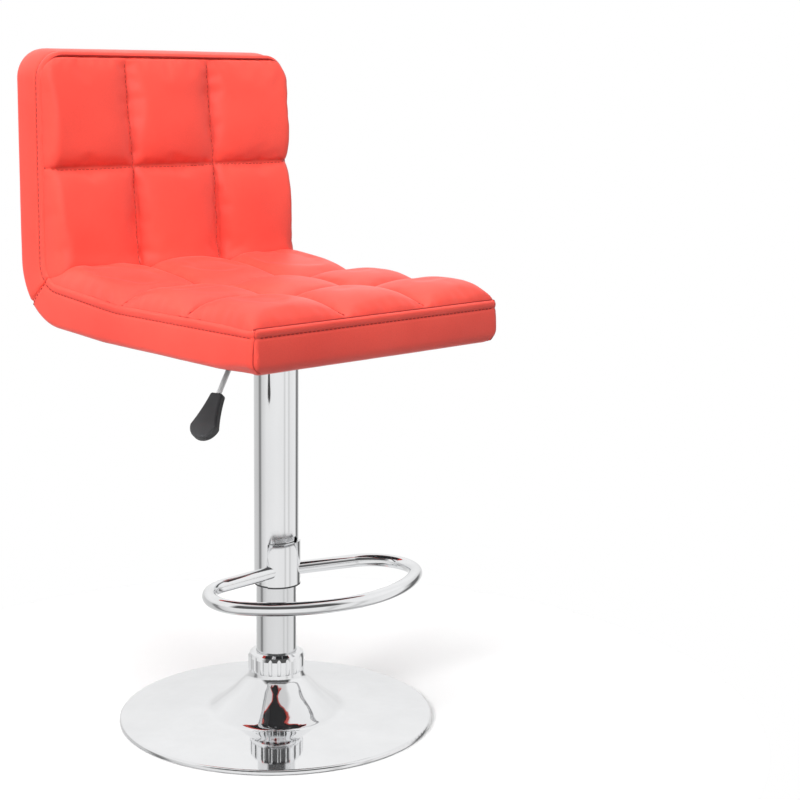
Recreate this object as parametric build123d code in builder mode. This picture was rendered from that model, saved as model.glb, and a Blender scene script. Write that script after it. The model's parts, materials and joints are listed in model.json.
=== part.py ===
from build123d import *
from math import asin, atan2, cos, degrees, hypot, radians, sin, sqrt
import os

# Adjustable swivel stool: a padded seat with a low back on a gas-lift column.
# Millimetres, +Z up. The origin is on the floor, on the axis of the column.
# The sitter faces -Y, the back of the seat is at +Y.

# ---- driving dimensions -------------------------------------------------------------------
base_radius = 192.5
base_rim_height = 6.5
base_shoulder_radius = 88.0
base_shoulder_height = 11.6
base_flank = ((76.0, 17.5), (56.0, 34.5), (40.0, 50.5))
base_neck_radius = 34.0
base_neck_height = 62.0
sheet_thickness = 2.0

stand_tube_radius = 24.5
stand_tube_wall = 1.8
stand_tube_foot = 9.0
stand_tube_top = 405.0
cover_tube_radius = 27.0
cover_tube_wall = 1.2
cover_tube_foot = 173.0
cover_tube_top = 443.5

pressure_tube_radius = 14.0
pressure_tube_wall = 1.5
pressure_tube_foot = 45.0
pressure_tube_top = 446.0
rod_radius = 5.0
running_gap = 0.05
press_gap = 0.02

footrest_angle = 8.3
footrest_height = 190.5
footrest_tube_radius = 8.0
footrest_front_radius = 171.5
footrest_corner_radius = 53.7
footrest_corner_angle = 45.0
footrest_arm_side = 13.5
footrest_arm_front = 15.5

lever_angle = 15.0
lever_height = 455.3
lever_pivot_reach = 26.0
lever_pivot_height = 462.5
lever_rod_radius = 3.0
lever_bend_reach = 94.0
lever_bend_angle = 51.3
lever_handle_start = 40.5
lever_handle_end = 99.5

seat_half_width = 191.5
seat_front = -181.0
seat_rear = 248.0
seat_underside = 477.0
seat_underside_level_end = 88.0
seat_rear_corner_height = 488.6
seat_corner_radius = 78.0
seat_knee_radius = 300.0
seat_seam_height = 521.5
seat_crown_height = 541.0
back_face = 197.0
back_crown = 184.0
crease_sum = 722.0
back_top = 806.0
back_corner_radius = 33.0
front_corner_radius = 8.0
border_thickness = 6.0
cover_thickness = 3.0
plywood_thickness = 12.0

plate_thickness = 3.5
plate_half_size = 85.0
bolt_spacing = 130.0
bolt_radius = 3.0

os.makedirs("parts", exist_ok=True)


def save(name, part):
    """Label a finished piece and write it to its own STEP file."""
    part.label = name
    export_step(part, f"parts/{name}.step")


def section(*points):
    """Closed face in the XZ plane (radius, height) through the given points."""
    with BuildSketch(Plane.XZ) as sketch:
        with BuildLine():
            Polyline(*points, close=True)
        make_face()
    return sketch.sketch_local


def ring(outer, inner, low, high):
    """Section of a plain ring about the column axis."""
    return section((inner, low), (outer, low), (outer, high), (inner, high))


# ---- base ---------------------------------------------------------------------------------
flank_lean = 0.707
rim_turn = 3.0
rim_turn_radius = -3.2
neck_tangent = (-0.03, 1)


def trumpet_section(skin):
    """Half section of the trumpet disc, moved in from the outer surface by skin."""
    rim = base_radius - skin
    shoulder = (base_shoulder_radius, base_shoulder_height - skin)
    flank = [(reach - skin * flank_lean, height - skin * flank_lean) for reach, height in base_flank]
    neck = (base_neck_radius - skin, base_neck_height)
    with BuildSketch(Plane.XZ) as sketch:
        with BuildLine():
            edge = Line((0, 0), (rim, 0))
            wall = Line(edge @ 1, (rim, base_rim_height - rim_turn))
            lip = RadiusArc(wall @ 1, (rim - rim_turn + skin / 2, base_rim_height - skin), rim_turn_radius)
            top = Line(lip @ 1, shoulder)
            bell = Spline(shoulder, *flank, neck, tangents=(top % 1, neck_tangent))
            lid = Line(bell @ 1, (0, base_neck_height))
            Line(lid @ 1, (0, 0))
        make_face()
    return sketch.sketch_local


def turned(profile):
    """Solid of revolution of a half section about the column axis."""
    with BuildPart() as piece:
        with BuildSketch(Plane.XZ):
            add(profile)
        revolve(axis=Axis.Z)
    return piece.part


rim_gap = 3.0
rim_gap_reach = 20.0
with BuildPart() as base_disc:
    with BuildSketch(Plane.XZ):
        add(trumpet_section(0.0))
        add(trumpet_section(sheet_thickness), mode=Mode.SUBTRACT)
        with Locations((base_radius, 0)):
            Rectangle(rim_gap_reach, rim_gap, mode=Mode.SUBTRACT)
    revolve(axis=Axis.Z)
save("base_disc", base_disc.part)

# Soft ring under the rim: the stool stands on it.
floor_ring_outer = 186.0
floor_ring_inner = 172.0
floor_ring_height = 4.2
save("base_floor_ring", turned(ring(floor_ring_outer, floor_ring_inner, 0.0, floor_ring_height)))

ballast_inner = 46.0
ballast_outer = 168.0
ballast_bend = 100.0
ballast_low = 2.2
ballast_edge = 5.2
ballast_top = 8.4
save("base_ballast", turned(section((ballast_inner, ballast_low), (ballast_outer, ballast_low),
                                    (ballast_outer, ballast_edge), (ballast_bend, ballast_top),
                                    (ballast_inner, ballast_top))))

socket_bore = stand_tube_radius + press_gap
socket_radius = 28.5
socket_top = 76.0
socket_flange_radius = 60.0
socket_flange_low = 8.5
socket_flange_top = 11.5
save("base_socket", turned(section((socket_bore, socket_flange_low),
                                   (socket_flange_radius, socket_flange_low),
                                   (socket_flange_radius, socket_flange_top),
                                   (socket_radius, socket_flange_top),
                                   (socket_radius, socket_top), (socket_bore, socket_top))))

# Collar with rounded flutes that hides the joint of tube and disc.
collar_radius = 34.5
collar_foot = base_neck_height + 0.1
collar_top = 86.0
collar_edge = 79.0
collar_chamfer = 83.5
collar_taper = 2.0
collar_lip = 5.5
collar_gap = 0.3
collar_bore_top = 80.0
collar_bore_step = 77.0
flute_count = 20
flute_radius = 3.0
flute_offset = 1.6
with BuildPart() as trim_collar:
    with BuildSketch(Plane.XZ):
        add(section((socket_radius + collar_gap, collar_foot), (collar_radius, collar_foot),
                    (collar_radius, collar_edge), (collar_radius - collar_taper, collar_chamfer),
                    (collar_radius - collar_lip, collar_top), (stand_tube_radius + collar_gap, collar_top),
                    (stand_tube_radius + collar_gap, collar_bore_top),
                    (socket_radius + collar_gap, collar_bore_step)))
    revolve(axis=Axis.Z)
    with BuildSketch(Plane.XY.offset(collar_foot)):
        with PolarLocations(collar_radius + flute_offset, flute_count):
            Circle(flute_radius)
    extrude(amount=collar_top, mode=Mode.SUBTRACT)
save("trim_collar", trim_collar.part)

stand_bore = stand_tube_radius - stand_tube_wall
save("stand_tube", turned(ring(stand_tube_radius, stand_bore, stand_tube_foot, stand_tube_top)))

bottom_plate_low = 14.0
bottom_plate_high = 18.0
stub_radius = 4.0
save("stand_bottom_plate", turned(ring(stand_bore - press_gap, stub_radius + running_gap,
                                       bottom_plate_low, bottom_plate_high)))

# Guide bush: carries the pressure tube in the mouth of the stand tube.
bush_bore = pressure_tube_radius + running_gap
bush_foot = 330.0
bush_top = 408.0
save("guide_bushing", turned(section((bush_bore, bush_foot), (stand_bore - press_gap, bush_foot),
                                     (stand_bore - press_gap, stand_tube_top),
                                     (stand_tube_radius, stand_tube_top),
                                     (stand_tube_radius, bush_top), (bush_bore, bush_top))))

# ---- swivel bearing -----------------------------------------------------------------------
ball_radius = 1.98
ball_count = 8
race_radius = 10.0
race_low = 20.0
race_high = 24.0
race_middle = (race_low + race_high) / 2
shoulder_height = 26.0
race_washer_radius = 14.5
race_washer_bore = 5.0
save("bearing_washer_lower", turned(ring(race_washer_radius, race_washer_bore, bottom_plate_high, race_low)))
save("bearing_washer_upper", turned(ring(race_washer_radius, stub_radius + press_gap, race_high,
                                         shoulder_height)))

cage_thickness = 1.6
cage_radius = 14.0
cage_bore = 5.5
ball_gap = 0.08
with BuildPart() as bearing_cage:
    with BuildSketch(Plane.XY.offset(race_middle - cage_thickness / 2)):
        Circle(cage_radius)
        Circle(cage_bore, mode=Mode.SUBTRACT)
        with PolarLocations(race_radius, ball_count):
            Circle(ball_radius + ball_gap, mode=Mode.SUBTRACT)
    extrude(amount=cage_thickness)
save("bearing_cage", bearing_cage.part)

with BuildPart() as bearing_balls:
    with Locations((0, 0, race_middle)):
        with PolarLocations(race_radius, ball_count):
            Sphere(ball_radius)
save("bearing_balls", bearing_balls.part)

# ---- gas lift -----------------------------------------------------------------------------
groove_low = 11.15
groove_high = 12.35
groove_radius = 3.2
piston_low = 406.0
rod_top = 418.0
stub_foot = 9.5
save("piston_rod", turned(section((0, stub_foot), (stub_radius, stub_foot), (stub_radius, groove_low),
                                  (groove_radius, groove_low), (groove_radius, groove_high),
                                  (stub_radius, groove_high), (stub_radius, shoulder_height),
                                  (rod_radius, shoulder_height), (rod_radius, rod_top), (0, rod_top))))

rod_washer_radius = 9.0
rod_washer_low = 12.45
rod_washer_top = 13.9
save("rod_washer", turned(ring(rod_washer_radius, stub_radius + press_gap, rod_washer_low, rod_washer_top)))

clip_radius = 7.0
clip_thickness = 1.1
clip_mouth_place = 5.5
clip_mouth_length = 6.0
clip_mouth_width = 4.6
with BuildPart() as rod_clip:
    with BuildSketch(Plane.XY.offset(groove_low + running_gap)):
        Circle(clip_radius)
        Circle(groove_radius + press_gap, mode=Mode.SUBTRACT)
        with Locations((clip_mouth_place, 0)):
            Rectangle(clip_mouth_length, clip_mouth_width, mode=Mode.SUBTRACT)
    extrude(amount=clip_thickness)
save("rod_clip", rod_clip.part)

cylinder_bore = 10.5
tube_bore = pressure_tube_radius - pressure_tube_wall
plug_radius = tube_bore - press_gap
seal_top = 62.3
plug_foot = 431.0
end_gap = 0.2
buffer_radius = 11.0
buffer_tip_radius = 9.0
buffer_bend = 31.0
buffer_top = 36.0
inner_cylinder_radius = 11.5
guide_top = 56.0
save("piston_head", turned(ring(cylinder_bore - running_gap, rod_radius + press_gap, piston_low, rod_top)))
save("rubber_buffer", turned(section((rod_radius + press_gap, shoulder_height + end_gap),
                                     (buffer_radius, shoulder_height + end_gap),
                                     (buffer_radius, buffer_bend), (buffer_tip_radius, buffer_top),
                                     (rod_radius + press_gap, buffer_top))))
save("inner_cylinder", turned(ring(inner_cylinder_radius, cylinder_bore, seal_top + end_gap,
                                   plug_foot - end_gap)))
save("rod_guide", turned(ring(plug_radius, rod_radius + running_gap, pressure_tube_foot + end_gap,
                              guide_top)))
save("rod_seal", turned(ring(plug_radius, rod_radius + running_gap, guide_top + end_gap, seal_top)))

taper_foot = 410.0
taper_top_radius = 13.2
taper_slope = (pressure_tube_radius - taper_top_radius) / (pressure_tube_top - taper_foot)
save("pressure_tube", turned(section((tube_bore, pressure_tube_foot),
                                     (pressure_tube_radius, pressure_tube_foot),
                                     (pressure_tube_radius, taper_foot),
                                     (taper_top_radius, pressure_tube_top),
                                     (tube_bore, pressure_tube_top))))

pin_radius = 2.5
pin_foot = 434.0
pin_lead = 0.8
pin_clearance = 0.3
pin_top = lever_height - lever_rod_radius - pin_clearance
save("valve_plug", turned(ring(plug_radius, pin_radius + running_gap, plug_foot, pressure_tube_top)))
save("release_pin", turned(section((0, pin_foot), (pin_radius, pin_foot), (pin_radius, pin_top - pin_lead),
                                   (pin_radius - pin_lead, pin_top), (0, pin_top))))

# ---- outer column -------------------------------------------------------------------------
footrest_turn = radians(footrest_angle)
footrest_frame = Plane(origin=(0, 0, 0), x_dir=(cos(footrest_turn), -sin(footrest_turn), 0), z_dir=(0, 0, 1))


def front_wedge(half_angle, reach):
    """Triangle from the axis that opens to the front by half_angle on each side."""
    across = reach * sin(radians(half_angle))
    ahead = -reach * cos(radians(half_angle))
    with BuildSketch() as sketch:
        with BuildLine():
            Polyline((0, 0), (-across, ahead), (across, ahead), close=True)
        make_face()
    return sketch.sketch_local


cover_bore = cover_tube_radius - cover_tube_wall
bracket_bore = cover_tube_radius + press_gap
bracket_radius = 29.5
bracket_half_angle = 54.0
bracket_top = 226.0
slot_half_angle = 37.0
slot_low = 221.8
slot_high = 233.0
tongue_half_angle = 35.0
tongue_low = 222.0
wedge_reach = 80.0

with BuildPart() as cover_tube:
    with BuildSketch(Plane.XZ):
        add(ring(cover_tube_radius, cover_bore, cover_tube_foot, cover_tube_top))
    revolve(axis=Axis.Z)
    with BuildSketch(footrest_frame.offset(slot_low)):
        add(front_wedge(slot_half_angle, wedge_reach))
    extrude(amount=slot_high - slot_low, mode=Mode.SUBTRACT)
save("cover_tube", cover_tube.part)

# Slide bush in the foot of the cover tube; its flange has a lug under the footrest bracket.
flange_low = 171.0
slide_length = 20.0
slide_bore = stand_tube_radius + running_gap
with BuildPart() as cover_bushing:
    with BuildSketch(footrest_frame.offset(flange_low)):
        Circle(bracket_radius)
        add(front_wedge(bracket_half_angle, wedge_reach), mode=Mode.INTERSECT)
        Circle(cover_tube_radius)
        Circle(slide_bore, mode=Mode.SUBTRACT)
    extrude(amount=cover_tube_foot - flange_low)
    with BuildSketch(Plane.XY.offset(cover_tube_foot)):
        Circle(cover_bore - press_gap)
        Circle(slide_bore, mode=Mode.SUBTRACT)
    extrude(amount=slide_length)
save("cover_bushing", cover_bushing.part)

plate_socket_radius = 19.0
cover_cap_low = 436.0
cover_cap_top = 443.0
tongue_inset = 0.5
save("cover_cap", turned(ring(cover_bore - press_gap, plate_socket_radius + press_gap, cover_cap_low,
                              cover_cap_top)))

with BuildPart() as footrest_bracket:
    with BuildSketch(footrest_frame.offset(cover_tube_foot)):
        Circle(bracket_radius)
        Circle(bracket_bore, mode=Mode.SUBTRACT)
        add(front_wedge(bracket_half_angle, wedge_reach), mode=Mode.INTERSECT)
    extrude(amount=bracket_top - cover_tube_foot)
    with BuildSketch(footrest_frame.offset(tongue_low)):
        Circle(bracket_radius - tongue_inset)
        Circle(cover_bore, mode=Mode.SUBTRACT)
        add(front_wedge(tongue_half_angle, wedge_reach), mode=Mode.INTERSECT)
    extrude(amount=bracket_top - tongue_low)
save("footrest_bracket", footrest_bracket.part)


def front_point(centre, radius, angle):
    """Point on a circle; the angle is turned from the sitter's side towards the front."""
    return (centre[0] + radius * cos(radians(angle)), centre[1] - radius * sin(radians(angle)))


# D-shaped footrest: an arc about the column, a tighter arc at each corner, straight arms.
corner_centre = front_point((0, 0), footrest_front_radius - footrest_corner_radius, footrest_corner_angle)
arm_root = (footrest_arm_side, -footrest_arm_front)
reach_x = corner_centre[0] - arm_root[0]
reach_y = arm_root[1] - corner_centre[1]
reach = hypot(reach_x, reach_y)
arm_angle = degrees(atan2(reach_y, reach_x) - asin(footrest_corner_radius / reach))
arm_length = sqrt(reach**2 - footrest_corner_radius**2)
arm_end = front_point(arm_root, arm_length, arm_angle)
corner_middle = front_point(corner_centre, footrest_corner_radius,
                            (arm_angle - 90.0 + footrest_corner_angle) / 2)
corner_end = front_point((0, 0), footrest_front_radius, footrest_corner_angle)


def to_left(point):
    """The same point on the other side of the footrest."""
    return (-point[0], point[1])


footrest_tube_wall = 1.5
with BuildPart() as footrest_ring:
    with BuildLine(footrest_frame.offset(footrest_height)) as footrest_path:
        Line(arm_root, arm_end)
        ThreePointArc(arm_end, corner_middle, corner_end)
        ThreePointArc(corner_end, (0, -footrest_front_radius), to_left(corner_end))
        ThreePointArc(to_left(corner_end), to_left(corner_middle), to_left(arm_end))
        Line(to_left(arm_end), to_left(arm_root))
    footrest_wire = footrest_path.wire()
    with BuildSketch(Plane(origin=footrest_wire @ 0, z_dir=footrest_wire % 0)):
        Circle(footrest_tube_radius)
        Circle(footrest_tube_radius - footrest_tube_wall, mode=Mode.SUBTRACT)
    sweep(path=footrest_wire)
    with Locations((0, 0, footrest_height)):
        Cylinder(radius=bracket_radius, height=4 * footrest_tube_radius, mode=Mode.SUBTRACT)
save("footrest_ring", footrest_ring.part)

# ---- seat plate and lever -----------------------------------------------------------------
plate_low = seat_underside - plate_thickness
channel_low = 444.0
channel_floor = 446.5
channel_half_width = 26.0
channel_wall = 2.5
channel_start = -34.0
channel_end = 58.0
lever_turn = radians(lever_angle)
lever_out = (-cos(lever_turn), -sin(lever_turn), 0)
lever_across = (sin(lever_turn), -cos(lever_turn), 0)
lever_frame = Plane(origin=(0, 0, 0), x_dir=lever_out, z_dir=(0, 0, 1))
pivot_point = (lever_out[0] * lever_pivot_reach, lever_out[1] * lever_pivot_reach, lever_pivot_height)
pivot_plane = Plane(origin=pivot_point, x_dir=lever_out, z_dir=lever_across)
pivot_radius = 2.0
plate_corner = 14.0
bolt_clearance = 0.3

with BuildPart() as seat_plate:
    with BuildSketch(Plane.XY.offset(plate_low)):
        RectangleRounded(2 * plate_half_size, 2 * plate_half_size, plate_corner)
        with GridLocations(bolt_spacing, bolt_spacing, 2, 2):
            Circle(bolt_radius + bolt_clearance, mode=Mode.SUBTRACT)
    extrude(amount=plate_thickness)
save("seat_plate", seat_plate.part)

with BuildPart() as plate_channel:
    with BuildSketch(lever_frame.offset(channel_low)):
        with Locations(((channel_start + channel_end) / 2, 0)):
            Rectangle(channel_end - channel_start, 2 * channel_half_width)
    extrude(amount=plate_low - channel_low)
    with BuildSketch(lever_frame.offset(channel_floor)):
        with Locations(((channel_start + channel_end) / 2, 0)):
            Rectangle(channel_end - channel_start + 2, 2 * (channel_half_width - channel_wall))
    extrude(amount=plate_low - channel_floor, mode=Mode.SUBTRACT)
    with BuildSketch(Plane.XY.offset(channel_low)):
        Circle(plate_socket_radius + press_gap)
    extrude(amount=channel_floor - channel_low, mode=Mode.SUBTRACT)
    with BuildSketch(pivot_plane):
        Circle(pivot_radius + press_gap)
    extrude(amount=channel_half_width + 1, both=True, mode=Mode.SUBTRACT)
save("plate_channel", plate_channel.part)

socket_foot = 414.0
socket_head = 447.0
socket_foot_bore = pressure_tube_radius - taper_slope * (socket_foot - taper_foot) + press_gap
socket_head_bore = pressure_tube_radius - taper_slope * (socket_head - taper_foot) + press_gap
save("plate_socket", turned(section((socket_foot_bore, socket_foot), (plate_socket_radius, socket_foot),
                                    (plate_socket_radius, socket_head), (socket_head_bore, socket_head))))

pivot_overhang = 2.5
pivot_head_radius = 3.6
pivot_head_gap = 0.1
clip_place = 1.5
pivot_clip_radius = 4.2
pivot_clip_thickness = 1.2
with BuildPart() as lever_pivot_pin:
    with BuildSketch(pivot_plane.offset(-channel_half_width - pivot_overhang)):
        Circle(pivot_radius)
    extrude(amount=2 * (channel_half_width + pivot_overhang))
    with BuildSketch(pivot_plane.offset(channel_half_width + pivot_head_gap)):
        Circle(pivot_head_radius)
    extrude(amount=pivot_overhang - pivot_head_gap)
save("lever_pivot_pin", lever_pivot_pin.part)

with BuildPart() as pivot_clip:
    with BuildSketch(pivot_plane.offset(-channel_half_width - clip_place)):
        Circle(pivot_clip_radius)
        Circle(pivot_radius + press_gap, mode=Mode.SUBTRACT)
    extrude(amount=pivot_clip_thickness)
save("pivot_clip", pivot_clip.part)

washer_thickness = 1.6
washer_radius = 9.0
washer_play = 0.2
head_height = 4.5
head_half_flats = 5.0
washer_low = plate_low - washer_thickness
head_low = washer_low - head_height
bolt_end = 489.0
with BuildPart() as seat_bolts:
    with BuildSketch(Plane.XY.offset(head_low)):
        with GridLocations(bolt_spacing, bolt_spacing, 2, 2):
            RegularPolygon(radius=head_half_flats, side_count=6, major_radius=False)
    extrude(amount=washer_low - head_low)
    with BuildSketch(Plane.XY.offset(washer_low)):
        with GridLocations(bolt_spacing, bolt_spacing, 2, 2):
            Circle(bolt_radius)
    extrude(amount=bolt_end - washer_low)
save("seat_bolts", seat_bolts.part)

with BuildPart() as bolt_washers:
    with BuildSketch(Plane.XY.offset(washer_low)):
        with GridLocations(bolt_spacing, bolt_spacing, 2, 2):
            Circle(washer_radius)
            Circle(bolt_radius + washer_play, mode=Mode.SUBTRACT)
    extrude(amount=plate_low - washer_low)
save("bolt_washers", bolt_washers.part)

shell_top = seat_underside + cover_thickness + plywood_thickness
nut_flange = 1.2
nut_flange_radius = 9.0
nut_barrel_radius = 4.0
nut_height = 10.0
with BuildPart() as tee_nuts:
    with BuildSketch(Plane.XY.offset(shell_top - nut_flange)):
        with GridLocations(bolt_spacing, bolt_spacing, 2, 2):
            Circle(nut_flange_radius)
            Circle(bolt_radius + press_gap, mode=Mode.SUBTRACT)
    extrude(amount=nut_flange)
    with BuildSketch(Plane.XY.offset(shell_top - nut_height)):
        with GridLocations(bolt_spacing, bolt_spacing, 2, 2):
            Circle(nut_barrel_radius)
            Circle(bolt_radius + press_gap, mode=Mode.SUBTRACT)
    extrude(amount=nut_height - nut_flange)
save("tee_nuts", tee_nuts.part)


def along_lever(distance, height):
    """Point in the vertical plane of the lever."""
    return (lever_out[0] * distance, lever_out[1] * distance, height)


slope_out = cos(radians(lever_bend_angle))
slope_down = sin(radians(lever_bend_angle))
rod_grip = 36.0
rod_bend_radius = 14.0
rod_inner_end = -4.0
rod_end = lever_handle_start + rod_grip
with BuildPart() as lever_rod:
    with BuildLine() as lever_path:
        FilletPolyline(along_lever(rod_inner_end, lever_height),
                       along_lever(lever_bend_reach, lever_height),
                       along_lever(lever_bend_reach + slope_out * rod_end, lever_height - slope_down * rod_end),
                       radius=rod_bend_radius)
    lever_wire = lever_path.wire()
    with BuildSketch(Plane(origin=lever_wire @ 0, z_dir=lever_wire % 0)):
        Circle(lever_rod_radius)
    sweep(path=lever_wire)
save("lever_rod", lever_rod.part)

hub_low = 451.0
hub_length = 14.0
hub_width = 16.0
hub_corner = 3.0
hub_height = 16.0
hub_reach = 60.0
with BuildPart() as lever_hub:
    with BuildSketch(lever_frame.offset(hub_low)):
        with Locations((lever_pivot_reach, 0)):
            RectangleRounded(hub_length, hub_width, hub_corner)
    extrude(amount=hub_height)
    with BuildSketch(pivot_plane):
        Circle(pivot_radius + running_gap)
    extrude(amount=hub_width, both=True, mode=Mode.SUBTRACT)
    with BuildSketch(Plane(origin=along_lever(0, lever_height), z_dir=lever_out)):
        Circle(lever_rod_radius + press_gap)
    extrude(amount=hub_reach, mode=Mode.SUBTRACT)
save("lever_hub", lever_hub.part)

# Paddle handle on the sloping end of the rod.
handle_slope = (lever_out[0] * slope_out, lever_out[1] * slope_out, -slope_down)
handle_plane = Plane(origin=along_lever(lever_bend_reach, lever_height), x_dir=handle_slope,
                     z_dir=(lever_out[0] * slope_down, lever_out[1] * slope_down, slope_out))
handle_half_thickness = 5.5
handle_neck = 8.0
handle_half_width = 18.0
handle_widest = 83.5
handle_waist = (61.5, 11.5)
handle_edge_radius = 3.0
with BuildPart() as lever_handle:
    with BuildSketch(handle_plane):
        with BuildLine():
            neck = Line((lever_handle_start, handle_neck), (lever_handle_start, -handle_neck))
            tip = ThreePointArc((handle_widest, -handle_half_width), (lever_handle_end, 0),
                                (handle_widest, handle_half_width))
            ThreePointArc(neck @ 1, (handle_waist[0], -handle_waist[1]), tip @ 0)
            ThreePointArc(tip @ 1, handle_waist, neck @ 0)
        make_face()
    extrude(amount=handle_half_thickness, both=True)
    fillet(lever_handle.edges(), radius=handle_edge_radius)
    with BuildSketch(Plane(origin=along_lever(lever_bend_reach, lever_height), z_dir=handle_slope)):
        Circle(lever_rod_radius + press_gap)
    extrude(amount=rod_end, mode=Mode.SUBTRACT)
save("lever_handle", lever_handle.part)


# ---- upholstered seat ---------------------------------------------------------------------
def bend_line(depth):
    """Line that follows the underside and the rear of the seat, moved in by depth."""
    return FilletPolyline((seat_front, seat_underside + depth),
                          (seat_underside_level_end, seat_underside + depth),
                          (seat_rear - depth, seat_rear_corner_height + depth),
                          (seat_rear - depth, back_top),
                          radius=[seat_knee_radius, seat_corner_radius - depth])


def bent_layer(outer_depth, inner_depth):
    """Side profile of a layer that follows the underside and the rear of the seat."""
    with BuildSketch(Plane.YZ) as sketch:
        with BuildLine():
            outer = bend_line(outer_depth)
            inner = bend_line(inner_depth)
            Line(outer @ 0, inner @ 0)
            Line(outer @ 1, inner @ 1)
        make_face()
    return sketch.sketch_local


def side_box(rear_low, rear_high, low, high):
    """Rectangle in the side view, from its lowest to its highest corner."""
    with BuildSketch(Plane.YZ) as sketch:
        with BuildLine():
            Polyline((rear_low, low), (rear_high, low), (rear_high, high), (rear_low, high), close=True)
        make_face()
    return sketch.sketch_local


inner_half_width = seat_half_width - border_thickness
shell_side_gap = 3.0
shell_front_gap = 5.0
shell_top_gap = 6.0
shell_corner = 20.0
crease_gap = 0.3
nut_play = 0.1
layer_low = 470.0
layer_high = 520.0
shell_half_width = inner_half_width - shell_side_gap
shell_depth = cover_thickness + plywood_thickness
inner_corner = back_corner_radius - border_thickness
front_inner_corner = front_corner_radius - border_thickness
padding_front = seat_front + border_thickness
padding_top = back_top - border_thickness
crease_height = seat_crown_height + crease_gap

with BuildPart() as seat_shell:
    with BuildSketch(Plane.YZ):
        add(bent_layer(cover_thickness, shell_depth))
        add(side_box(padding_front + shell_front_gap, seat_rear, seat_underside,
                     padding_top - shell_top_gap), mode=Mode.INTERSECT)
    extrude(amount=shell_half_width, both=True)
    fillet(seat_shell.edges().filter_by(Axis.Y).group_by(Axis.Z)[-1], radius=shell_corner)
    with BuildSketch(Plane.XY.offset(seat_underside)):
        with GridLocations(bolt_spacing, bolt_spacing, 2, 2):
            Circle(nut_barrel_radius + press_gap)
    extrude(amount=layer_high - seat_underside, mode=Mode.SUBTRACT)
    with BuildSketch(Plane.XY.offset(shell_top - nut_flange)):
        with GridLocations(bolt_spacing, bolt_spacing, 2, 2):
            Circle(nut_flange_radius + nut_play)
    extrude(amount=2 * nut_flange, mode=Mode.SUBTRACT)
save("seat_shell", seat_shell.part)

rear_cover_start = 150.0
with BuildPart() as under_cover:
    with BuildSketch(Plane.YZ):
        add(bent_layer(0.0, cover_thickness))
        add(side_box(padding_front, rear_cover_start, layer_low, layer_high), mode=Mode.INTERSECT)
    extrude(amount=inner_half_width, both=True)
    fillet(under_cover.edges().filter_by(Axis.Z).group_by(Axis.Y)[0], radius=front_inner_corner)
    with BuildSketch(Plane.XY.offset(layer_low)):
        with GridLocations(bolt_spacing, bolt_spacing, 2, 2):
            Circle(bolt_radius + bolt_clearance)
    extrude(amount=layer_high - layer_low, mode=Mode.SUBTRACT)
save("under_cover", under_cover.part)

with BuildPart() as rear_cover:
    with BuildSketch(Plane.YZ):
        add(bent_layer(0.0, cover_thickness))
        add(side_box(rear_cover_start, seat_rear, layer_low, padding_top), mode=Mode.INTERSECT)
    extrude(amount=inner_half_width, both=True)
    fillet(rear_cover.edges().filter_by(Axis.Y).group_by(Axis.Z)[-1], radius=inner_corner)
save("rear_cover", rear_cover.part)

pad_edge_radius = 14.0
with BuildPart() as seat_cushion:
    with BuildSketch(Plane.YZ):
        with BuildLine():
            foam_line = bend_line(shell_depth)
            Polyline(foam_line @ 1, (seat_front, back_top), foam_line @ 0)
        make_face()
        add(side_box(padding_front, seat_rear, seat_underside, seat_crown_height), mode=Mode.INTERSECT)
    extrude(amount=inner_half_width, both=True)
    fillet(seat_cushion.edges().filter_by(Axis.Z).group_by(Axis.Y)[0], radius=front_inner_corner)
    front_edges = seat_cushion.edges().filter_by(Axis.X).group_by(Axis.Y)[0]
    fillet(front_edges.sort_by(Axis.Z)[-1], radius=pad_edge_radius)
save("seat_cushion", seat_cushion.part)

with BuildPart() as back_cushion:
    with BuildSketch(Plane.YZ):
        with BuildLine():
            foam_line = bend_line(shell_depth)
            Polyline(foam_line @ 1, (seat_front, back_top), foam_line @ 0)
        make_face()
        add(side_box(back_crown, seat_rear, crease_height, padding_top), mode=Mode.INTERSECT)
    extrude(amount=inner_half_width, both=True)
    fillet(back_cushion.edges().filter_by(Axis.Y).group_by(Axis.Z)[-1], radius=inner_corner)
save("back_cushion", back_cushion.part)

# Side borders: an L-shaped strip in two lengths, sewn together along a diagonal at the corner.
seam_break = 5.0
side_start = seat_front + front_corner_radius + seam_break
side_end = back_top - back_corner_radius - seam_break
seam_knee = (60.0, seat_seam_height + 2.0)
seam_crease_height = 538.0
seam_radii = [200.0, 24.0]
side_reach = 400.0


def side_profile():
    """Side view between the underside and the seam that edges the quilted faces."""
    with BuildSketch(Plane.YZ) as sketch:
        with BuildLine():
            outer = bend_line(0.0)
            seam = FilletPolyline((seat_front, seat_seam_height), seam_knee,
                                  (back_face, seam_crease_height), (back_face, back_top), radius=seam_radii)
            Line(outer @ 0, seam @ 0)
            Line(outer @ 1, seam @ 1)
        make_face()
    return sketch.sketch_local


def below_diagonal(total):
    """Triangle of the side view where the sum of rearward place and height is under total."""
    with BuildSketch(Plane.YZ) as sketch:
        with BuildLine():
            Polyline((-side_reach, total + side_reach), (-side_reach, side_reach),
                     (total - side_reach, side_reach), close=True)
        make_face()
    return sketch.sketch_local


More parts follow.
